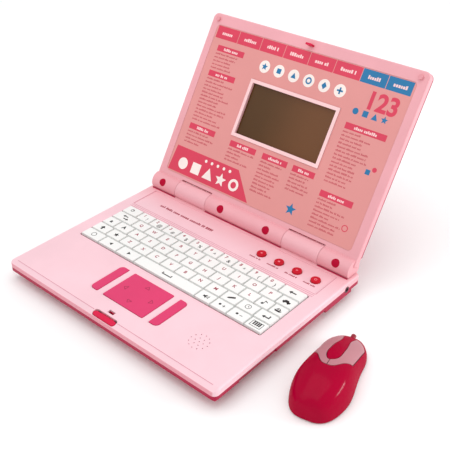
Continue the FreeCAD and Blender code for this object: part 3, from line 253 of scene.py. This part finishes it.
def on_lid(across, up, out):
    """Return a point on the open lid: across it, up from its hinge axis and out of its face."""
    y = HINGE_Y + up * math.sin(LEAN) - out * math.cos(LEAN)
    z = HINGE_Z + up * math.cos(LEAN) + out * math.sin(LEAN)
    return Vector((across, y, z)) * MM


def top_of(node):
    """Return the middle of a node's top, in millimetres."""
    low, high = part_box(node)
    return (low.x + high.x) / 2 / MM, (low.y + high.y) / 2 / MM, high.z / MM


# flat shapes, as lists of outlines in millimetres

ROUND_STEPS = 28
STAR_POINTS = 5
STAR_WAIST = 0.45


def rect(x0, y0, x1, y1):
    """Return a rectangle between two corners."""
    return [[(x0, y0), (x1, y0), (x1, y1), (x0, y1)]]


def disc(x, y, radius):
    """Return a disc about a point."""
    turns = [2 * math.pi * step / ROUND_STEPS for step in range(ROUND_STEPS)]
    return [[(x + radius * math.cos(turn), y + radius * math.sin(turn)) for turn in turns]]


def band_between(far, near):
    """Return the four-sided pieces between an outer and an inner outline of as many points."""
    return [[far[step - 1], far[step], near[step], near[step - 1]] for step in range(len(far))]


def ring(x, y, outer, inner):
    """Return a ring about a point."""
    return band_between(disc(x, y, outer)[0], disc(x, y, inner)[0])


def stroke(points, width):
    """Return a line of a width through points."""
    made = []
    for (x0, y0), (x1, y1) in zip(points, points[1:]):
        length = math.hypot(x1 - x0, y1 - y0)
        side_x = -(y1 - y0) / length * width / 2
        side_y = (x1 - x0) / length * width / 2
        made.append([(x0 - side_x, y0 - side_y), (x1 - side_x, y1 - side_y),
                     (x1 + side_x, y1 + side_y), (x0 + side_x, y0 + side_y)])
    return made


def star(x, y, radius):
    """Return a star about a point, with one of its points up."""
    corners = []
    for step in range(2 * STAR_POINTS):
        reach = radius if step % 2 == 0 else radius * STAR_WAIST
        turn = math.pi / 2 + math.pi * step / STAR_POINTS
        corners.append((x + reach * math.cos(turn), y + reach * math.sin(turn)))
    return [corners]


def moved(outlines, x, y, scale=1.0):
    """Return outlines scaled about zero and then moved."""
    return [[(x + px * scale, y + py * scale) for px, py in outline] for outline in outlines]


def turned(outlines, angle):
    """Return outlines turned about zero."""
    cos = math.cos(angle)
    sin = math.sin(angle)
    return [[(x * cos - y * sin, x * sin + y * cos) for x, y in outline] for outline in outlines]


def flipped(outlines):
    """Return outlines with left and right exchanged."""
    return [[(-x, y) for x, y in outline] for outline in outlines]


def glyphs(text, height, weight):
    """Return the filled outlines of plain letters or digits, centred on zero and fattened by a weight."""
    curve = bpy.data.curves.new("glyphs", "FONT")
    curve.body = text
    curve.size = height
    curve.offset = weight
    curve.align_x = "CENTER"
    curve.align_y = "CENTER"
    holder = bpy.data.objects.new("glyphs", curve)
    mesh = bpy.data.meshes.new_from_object(holder)
    outlines = []
    for face in mesh.polygons:
        outlines.append([tuple(mesh.vertices[index].co[:2]) for index in face.vertices])
    bpy.data.objects.remove(holder)
    bpy.data.curves.remove(curve)
    bpy.data.meshes.remove(mesh)
    return outlines


# rows of small blocks: sizes as shares of the row's height, and how many blocks stand in a group
BLOCK_WIDTHS = (0.4, 0.62)
BLOCK_HEIGHTS = (0.72, 0.72, 1.0)
BLOCK_GAP = 0.16
GROUP_GAP = 0.45
FIRST_GROUP = (3, 8)
LATER_GROUP = (2, 8)
draw = random.Random(7)


def blocks(left, foot, width, height):
    """Return a row of small upright blocks in groups, which stands for a line of print."""
    made = []
    start = left
    left_in_group = draw.randint(*FIRST_GROUP)
    while start < left + width:
        thick = height * draw.uniform(*BLOCK_WIDTHS)
        made += rect(start, foot, start + thick, foot + height * draw.choice(BLOCK_HEIGHTS))
        start += thick + BLOCK_GAP * height
        left_in_group -= 1
        if left_in_group == 0:
            start += GROUP_GAP * height
            left_in_group = draw.randint(*LATER_GROUP)
    return made


# printed films

FILM = 0.04
WELD_REACH = 0.002


def turned_left(outline):
    """Return an outline so that its points go round to the left."""
    area = sum(x0 * y1 - x1 * y0 for (x0, y0), (x1, y1) in zip(outline, outline[1:] + outline[:1]))
    return outline if area > 0 else outline[::-1]


def flat_piece(name, outlines, place, ink, body):
    """Make one thin film from outlines and a function that places the points of its upper side."""
    points = []
    faces = []
    for outline in outlines:
        faces.append(list(range(len(points), len(points) + len(outline))))
        points += [place(x, y) for x, y in turned_left(outline)]
    mesh = bpy.data.meshes.new(name)
    mesh.from_pydata(points, [], faces)
    mesh.materials.append(INKS[ink])
    item = bpy.data.objects.new(name, mesh)
    bpy.context.scene.collection.objects.link(item)
    weld = item.modifiers.new("joined_outlines", "WELD")
    weld.merge_threshold = WELD_REACH * MM
    film = item.modifiers.new("print_film", "SOLIDIFY")
    film.thickness = FILM * MM
    film.offset = -1.0
    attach(item, body)


def print_flat(name, outlines, level, ink, body):
    """Print outlines on a flat top at a level of the base."""
    flat_piece(name, outlines, lambda x, y: on_deck(x, y, level + FILM), ink, body)


def print_deck(name, outlines, ink, level=DECK_Z):
    """Print outlines on the deck or on its sunk strip."""
    print_flat(name, outlines, level, ink, "base")


# key legends

KEY_GAP = 0.8


def key_spots(node, count):
    """Return the middles of the keys of a row, in millimetres."""
    low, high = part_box(node)
    pitch = ((high.x - low.x) / MM + KEY_GAP) / count
    start = low.x / MM - KEY_GAP / 2
    middle = (low.y + high.y) / 2 / MM
    return [(start + pitch * (number + 0.5), middle) for number in range(count)]


def legend(node, outlines, ink, kind="legend"):
    """Print the keys of a node with outlines that are already in the base's axes."""
    level = top_of(node)[2]
    print_flat(f"{node}_{kind}", outlines, level, ink, node)


def row_marks(node, text, height, weight, off_x, off_y):
    """Return one character for each key of a row, set off from the key's middle."""
    outlines = []
    for character, (x, y) in zip(text, key_spots(node, len(text))):
        outlines += moved(glyphs(character, height, weight), x + off_x, y + off_y)
    return outlines


# height and weight of the characters, and how far they stand off the key's middle
DIGIT_STYLE = (5.4, 0.12, -3.4, 1.9)
SHIFTED_STYLE = (6.2, 0.05, 2.8, -1.9)
LETTER_STYLE = (5.2, 0.14, -0.4, 0.2)
LETTER_ROWS = {
    "letter_keys_top": "QWERTYUIOP",
    "letter_keys_middle": "ASDFGHJKL",
    "letter_keys_bottom": "ZXCVBNM",
}
legend("number_keys", row_marks("number_keys", "1234567890", *DIGIT_STYLE), "ink_crimson")
legend("number_keys", row_marks("number_keys", "!@#$%^&*()", *SHIFTED_STYLE), "ink_black", "shifted")
for node, letters in LETTER_ROWS.items():
    legend(node, row_marks(node, letters, *LETTER_STYLE), "ink_crimson")

# icons about the middle of their key
ARROW_LEFT = [[(-4, 0), (-1, 2.2), (-1, 0.7), (4, 0.7), (4, -0.7), (-1, -0.7), (-1, -2.2)]]
ARROW_UP = [[(0, 3), (3, 0), (1.1, 0), (1.1, -3), (-1.1, -3), (-1.1, 0), (-3, 0)]]
TWO_ARROWS = moved(ARROW_LEFT, -1.5, 1.6, 0.7) + moved(flipped(ARROW_LEFT), 1.5, -1.6, 0.7)
TRIANGLE_LEFT = [[(-2.4, 0), (1.4, 2.2), (1.4, -2.2)]]
ENTER = [[(-4, -1), (-1.2, 1), (-1.2, -0.3), (2.8, -0.3), (2.8, 2.6), (4, 2.6), (4, -1.6), (-1.2, -1.6),
          (-1.2, -3)]]
BRACKET = [[(-6, -1.6), (6, -1.6), (6, 1.4), (4.8, 1.4), (4.8, -0.4), (-4.8, -0.4), (-4.8, 1.4), (-6, 1.4)]]
POWER = ring(-1, 0.6, 2.2, 1.5) + rect(-1.3, 0.6, -0.7, 3.0)
CAR = [[(-4.2, -1.4), (4.2, -1.4), (4.2, 0.4), (2.4, 0.6), (1.0, 2.2), (-2.0, 2.2), (-3.2, 0.6), (-4.2, 0.4)]]
CAR += disc(-2.3, -1.7, 1.1) + disc(2.3, -1.7, 1.1)
BOAT = [
    [(-4, -0.6), (4, -0.6), (2.6, -2.6), (-2.6, -2.6)],
    [(-0.4, 3), (-0.4, 0), (-3, 0)],
    [(0.4, 2.4), (2.8, 0), (0.4, 0)],
]
NOTE = disc(-1.7, -1.8, 1.3)
NOTE += [[(-0.9, -1.8), (-0.3, -1.8), (-0.3, 2.0), (2.2, 0.8), (2.2, 1.8), (-0.3, 3), (-0.9, 3)]]
PENCIL = [[(-3.8, -2.6), (-2.9, -0.6), (2.6, 2.8), (3.9, 0.9), (-1.7, -2.4)]]
CLOCK = ring(0, 0, 3.1, 2.6) + stroke([(0, 0), (0, 1.9)], 0.5) + stroke([(0, 0), (1.4, -0.6)], 0.5)
SOUND = [[(-3, -1), (-1.4, -1), (0.6, -2.6), (0.6, 2.6), (-1.4, 1), (-3, 1)]]
SOUND += rect(1.5, -1.4, 2.1, 1.4) + rect(2.9, -2.2, 3.5, 2.2)
SOFTER = disc(-2.4, 0.4, 1.3) + rect(0.8, -0.3, 4.0, 0.3)
LOUDER = SOFTER + rect(2.1, -1.6, 2.7, 1.6)
PIANO = band_between(rect(-6.0, -3.8, 6.0, 3.8)[0], rect(-5.5, -3.3, 5.5, 3.3)[0])
for bar in (-3.2, -1.0, 1.2, 3.2):
    PIANO += rect(bar - 0.75, -1.6, bar + 0.75, 3.2)

ICONS = {
    "key_escape": POWER,
    "key_back": ARROW_LEFT,
    "key_tab": moved(TWO_ARROWS, 0, 0, 1.25),
    "key_car": CAR,
    "key_small_case": glyphs("a", 7.0, 0.25),
    "key_large_case": glyphs("A", 6.4, 0.25),
    "key_music": NOTE,
    "key_boat": BOAT,
    "key_shift": ARROW_UP,
    "key_star": star(0, 0, 3.2),
    "key_pencil": PENCIL,
    "key_clock": CLOCK,
    "key_enter": ENTER,
    "key_circle": ring(0, 0, 3.0, 2.4),
    "space_bar": BRACKET,
    "key_sound": SOUND,
    "key_plus": LOUDER,
    "key_minus": SOFTER,
    "key_piano": PIANO,
}
for node, outlines in ICONS.items():
    legend(node, moved(outlines, *top_of(node)[:2]), "ink_black")
left_key, right_key = key_spots("arrow_keys", 2)
arrows = moved(TRIANGLE_LEFT, *left_key) + moved(flipped(TRIANGLE_LEFT), *right_key)
legend("arrow_keys", arrows, "ink_black")


# arrows on the pad

PAD_ARROW = stroke([(-2.6, 2.6), (0.9, 0), (-2.6, -2.6), (-2.6, 2.6)], 0.7)
PAD_SPOTS = [(18.0, 0.0), (0.0, 13.5), (-18.0, 0.0), (0.0, -13.5)]
pad_x, pad_y, pad_top = top_of("touchpad")
pad_arrows = []
for quarter, (off_x, off_y) in enumerate(PAD_SPOTS):
    pad_arrows += moved(turned(PAD_ARROW, math.pi / 2 * quarter), pad_x + off_x, pad_y + off_y)
print_flat("touchpad_arrows", pad_arrows, pad_top, "ink_pad", "touchpad")


# signs on the round buttons, and the lines of print in the strip around them

BUTTON_SIGNS = [
    disc(0, 0, 1.0),
    rect(-1.0, -1.0, 1.0, 1.0),
    [[(-0.9, -1.2), (1.3, 0), (-0.9, 1.2)]],
    ring(0, 0, 1.5, 0.9),
]
LABEL_LEFT = 8.5
LABEL_BELOW = 9.0
LABEL_WIDE = 13.0
LABEL_TALL = 2.0
labels = []
for node, sign in zip(BUTTONS, BUTTON_SIGNS):
    x, y, top = top_of(node)
    print_flat(f"{node}_sign", moved(sign, x, y), top, "ink_pale", node)
    labels += blocks(x - LABEL_LEFT, y - LABEL_BELOW, LABEL_WIDE, LABEL_TALL)
print_deck("button_labels", labels, "ink_crimson", RECESS_Z)

DECK_LINE_LEFT = -96.0
DECK_LINE_FOOT = 64.6
DECK_LINE_WIDE = 75.0
DECK_LINE_TALL = 3.4
deck_line = blocks(DECK_LINE_LEFT, DECK_LINE_FOOT, DECK_LINE_WIDE, DECK_LINE_TALL)
print_deck("deck_line", deck_line, "ink_crimson", RECESS_Z)


# painted shade: dark lines on the deck along its front, behind the keyboard and beside the sunk strip

SHADE_LINE_WIDTH = 0.5
DECK_SIDE = 128.0
NOTCH_SIDE = 15.2
FRONT_LINE = -98.4
REAR_LINES = [45.2, 47.6, 49.8]
RECESS_SIDE = 121.5
RECESS_BACK = 84.0
deck_shade_outlines = []
for left, right in ((-DECK_SIDE, -NOTCH_SIDE), (NOTCH_SIDE, DECK_SIDE)):
    deck_shade_outlines += rect(left, FRONT_LINE, right, FRONT_LINE + SHADE_LINE_WIDTH)
for line in REAR_LINES:
    deck_shade_outlines += rect(-RECESS_SIDE, line - SHADE_LINE_WIDTH, RECESS_SIDE, line)
for side in (-RECESS_SIDE - SHADE_LINE_WIDTH, RECESS_SIDE):
    deck_shade_outlines += rect(side, REAR_LINES[-1] + FILM, side + SHADE_LINE_WIDTH, RECESS_BACK)
print_deck("deck_shade_lines", deck_shade_outlines, "painted_shade_pink")

# painted shade: a dark line in front of the keys
EDGE_FAR = 1.4
EDGE_NEAR = 0.9
keys_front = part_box("space_bar")[0].y / MM
keys_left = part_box("key_circle")[0].x / MM
keys_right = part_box("key_piano")[1].x / MM
keyboard_edge_shade = rect(keys_left, keys_front - EDGE_FAR, keys_right, keys_front - EDGE_NEAR)
print_deck("keyboard_edge_shade", keyboard_edge_shade, "painted_shade_crimson")

# the lid's gaps for the knuckles of the base, and the end of its outer barrels, from the middle
GAP_INNER = 51.6
GAP_OUTER = 95.8
BARREL_END = 131.0

# painted shadow: lines under the lid's barrels, left, middle and right
TROUGH_EDGE = 88.8
TROUGH_LINE = 1.8
BARREL_SPANS = [(-BARREL_END, -GAP_OUTER), (-GAP_INNER, GAP_INNER), (GAP_OUTER, BARREL_END)]
trough_shadow = []
for left, right in BARREL_SPANS:
    trough_shadow += rect(left, TROUGH_EDGE - TROUGH_LINE, right, TROUGH_EDGE)
print_deck("trough_shadow_lines", trough_shadow, "painted_shadow_crimson")

# painted shade: strips that stand on the lid in its gaps, above the knuckles
STRIP_FOOT = 10.15
STRIP_TOP = 11.2
shadow_strips = []
for left, right in ((-GAP_OUTER, -GAP_INNER), (GAP_INNER, GAP_OUTER)):
    shadow_strips += rect(left, STRIP_FOOT, right, STRIP_TOP)
flat_piece("hinge_shadow_strips", shadow_strips, lambda across, up: on_lid(across, up, 0.0), "painted_shadow_crimson", "lid")


# print on the lid's panel: plain tabs, rows of small blocks, signs and numbers

PANEL_OUT = 3.0


def print_panel(name, outlines, ink, layer=1):
    """Print outlines on the panel, across it and up from the hinge axis, as its first or a later film."""
    out = PANEL_OUT + layer * FILM
    flat_piece(name, outlines, lambda across, up: on_lid(across, up, out), ink, "lid")


# tabs along the top
TAB_LOW = 169.0
TAB_HIGH = 182.3
TAB_EDGES = [-120.8, -90.0, -59.0, -28.0, 3.0, 34.0, 65.0, 93.5, 120.8]
TAB_GAP = 0.7
RED_TABS = 6
TAB_LINE_FOOT = 173.6
TAB_LINE_WIDTHS = (11.0, 17.0)
TAB_LINE_TALL = 3.6
red_tabs = []
blue_tabs = []
tab_lines = []
for number, (left, right) in enumerate(zip(TAB_EDGES, TAB_EDGES[1:])):
    tabs = red_tabs if number < RED_TABS else blue_tabs
    tabs += rect(left + TAB_GAP / 2, TAB_LOW, right - TAB_GAP / 2, TAB_HIGH)
    width = draw.uniform(*TAB_LINE_WIDTHS)
    tab_lines += blocks((left + right - width) / 2, TAB_LINE_FOOT, width, TAB_LINE_TALL)
print_panel("panel_tabs_red", red_tabs, "ink_red")
print_panel("panel_tabs_blue", blue_tabs, "ink_blue")
print_panel("panel_tab_lines", tab_lines, "ink_blush", 2)

# round signs above the display
SIGN_LEFT = -45.0
SIGN_PITCH = 18.8
SIGN_ROW = 154.7
SIGN_RADIUS = 6.6
SIGN_SHAPES = [
    star(0, 0, 4.0),
    rect(-2.6, -2.6, 2.6, 2.6),
    [[(-3.2, -2.4), (3.2, -2.4), (0, 3.4)]],
    ring(0, 0, 3.6, 2.0),
    [[(0, 3.8), (3.0, 0), (0, -3.8), (-3.0, 0)]],
    rect(-0.9, -3.4, 0.9, 3.4) + rect(-3.4, -0.9, 3.4, 0.9),
]
signs = []
sign_shapes = []
for number, shape in enumerate(SIGN_SHAPES):
    across = SIGN_LEFT + SIGN_PITCH * number
    signs += disc(across, SIGN_ROW, SIGN_RADIUS)
    sign_shapes += moved(shape, across, SIGN_ROW)
print_panel("panel_signs", signs, "ink_cream")
print_panel("panel_sign_shapes", sign_shapes, "ink_blue", 2)

# heads with lists under them: left edge, foot and width of the head, width and rows of the list
COLUMNS = [
    (-112.5, 155.8, 37.0, 36.0, 5),
    (-112.5, 127.7, 37.0, 42.0, 13),
    (-112.5, 66.8, 37.0, 40.0, 4),
    (-53.0, 65.0, 35.0, 35.0, 4),
    (-9.0, 65.0, 32.0, 31.0, 9),
    (30.0, 65.0, 27.0, 27.0, 5),
    (68.0, 122.3, 46.0, 38.0, 14),
    (69.0, 52.7, 38.0, 36.0, 8),
]
HEAD_TALL = 6.4
HEAD_LINE_UP = 1.7
HEAD_LINE_TALL = 3.0
HEAD_LINE_SHARES = (0.4, 0.55)
ROW_BELOW = 3.6
ROW_STEP = 3.9
ROW_TALL = 1.9
ROW_SHARES = (0.5, 0.98)
heads = []
head_lines = []
list_lines = []
for left, foot, width, list_width, rows in COLUMNS:
    heads += rect(left, foot, left + width, foot + HEAD_TALL)
    line_width = width * draw.uniform(*HEAD_LINE_SHARES)
    head_lines += blocks(left + (width - line_width) / 2, foot + HEAD_LINE_UP, line_width, HEAD_LINE_TALL)
    for row in range(rows):
        row_width = list_width * draw.uniform(*ROW_SHARES)
        list_lines += blocks(left, foot - ROW_BELOW - ROW_STEP * row, row_width, ROW_TALL)
print_panel("panel_heads", heads, "ink_red")
print_panel("panel_head_lines", head_lines, "ink_blush", 2)
print_panel("panel_list_lines", list_lines, "ink_rose")

# band in the lower left corner, with plain shapes and a row of dots
BAND = [[(-118.5, 45.0), (-121.0, 16.6), (-6.0, 16.6), (-30.0, 45.0)]]
DOT_LEFT = -74.0
DOT_PITCH = 8.5
DOT_ROW = 40.0
DOT_RADIUS = 1.7
DOTS = 5
band_shapes = disc(-103, 28, 6.5) + rect(-90, 22, -78, 34) + [[(-73, 22), (-59, 22), (-66, 34.5)]]
band_shapes += star(-48, 27.5, 7.5) + ring(-30, 28, 6.5, 3.6)
for number in range(DOTS):
    band_shapes += disc(DOT_LEFT + DOT_PITCH * number, DOT_ROW, DOT_RADIUS)
print_panel("panel_band", BAND, "ink_red")
print_panel("panel_band_shapes", band_shapes, "ink_cream", 2)

# large numbers in the upper right corner, and small shapes
NUMBERS_TALL = 24.0
NUMBERS_WEIGHT = 0.8
NUMBERS_SPOT = (97.0, 154.0)
numbers = moved(glyphs("123", NUMBERS_TALL, NUMBERS_WEIGHT), *NUMBERS_SPOT)
blue_shapes = disc(73, 141, 3.2) + rect(81, 138, 87, 144) + [[(91, 138), (98, 138), (94.5, 144.4)]]
blue_shapes += star(105, 141, 3.9) + star(45, 29, 6.4) + rect(106, 88, 111, 93)
red_shapes = disc(114.5, 94.5, 2.4) + ring(108, 33, 3.4, 2.5)
print_panel("panel_numbers", numbers, "ink_red")
print_panel("panel_blue_shapes", blue_shapes, "ink_blue")
print_panel("panel_red_shapes", red_shapes, "ink_red")


# floor and light, in metres and watts

FLOOR_SIZE = 12.0
FLOOR_Z = -0.0004
WORLD_COLOUR = (1.0, 1.0, 1.0, 1.0)
WORLD_STRENGTH = 0.78

bpy.ops.mesh.primitive_plane_add(size=FLOOR_SIZE, location=(0.0, 0.0, FLOOR_Z))
floor = bpy.context.object
floor.name = "floor"
floor.data.materials.append(surface("floor_white", (252, 252, 252), 0.9, tone=0.005, bump=0.0))

world = bpy.data.worlds.new("studio")
bpy.context.scene.world = world
world.use_nodes = True
sky = world.node_tree.nodes["Background"]
sky.inputs["Color"].default_value = WORLD_COLOUR
sky.inputs["Strength"].default_value = WORLD_STRENGTH


def aimed(item, direction):
    """Turn a light or a camera so that it looks in a direction."""
    item.rotation_euler = direction.to_track_quat("-Z", "Y").to_euler()


def lamp(name, place, aim, wide, tall, power):
    """Add a soft light of a width and height that looks at a point."""
    data = bpy.data.lights.new(name, "AREA")
    data.shape = "RECTANGLE"
    data.size = wide
    data.size_y = tall
    data.energy = power
    item = bpy.data.objects.new(name, data)
    item.location = place
    aimed(item, Vector(aim) - Vector(place))
    bpy.context.scene.collection.objects.link(item)


lamp("key_light", (0.0, -0.1, 1.9), (0.0, 0.0, 0.05), 1.8, 1.8, 12.0)
lamp("fill_light", (-0.6, -1.1, 1.3), (0.0, 0.0, 0.08), 1.0, 1.0, 3.0)
lamp("window_light", (1.45, 1.0, 0.40), (0.15, -0.03, 0.02), 0.7, 0.14, 12.0)


# camera

CAMERA_PLACE = (432.1, -430.5, 468.1)
CAMERA_TURN = math.radians(41.25)
CAMERA_TILT = math.radians(33.24)
LENS = 62.5
SENSOR = 36.0

camera_data = bpy.data.cameras.new("camera")
camera_data.lens = LENS
camera_data.sensor_width = SENSOR
camera = bpy.data.objects.new("camera", camera_data)
camera.location = Vector(CAMERA_PLACE) * MM
level_reach = math.cos(CAMERA_TILT)
aimed(camera, Vector((-math.sin(CAMERA_TURN) * level_reach, math.cos(CAMERA_TURN) * level_reach,
                      -math.sin(CAMERA_TILT))))
bpy.context.scene.collection.objects.link(camera)
bpy.context.scene.camera = camera
bpy.context.scene.view_settings.view_transform = "Standard"


# bring the scene up to date

bpy.context.view_layer.update()
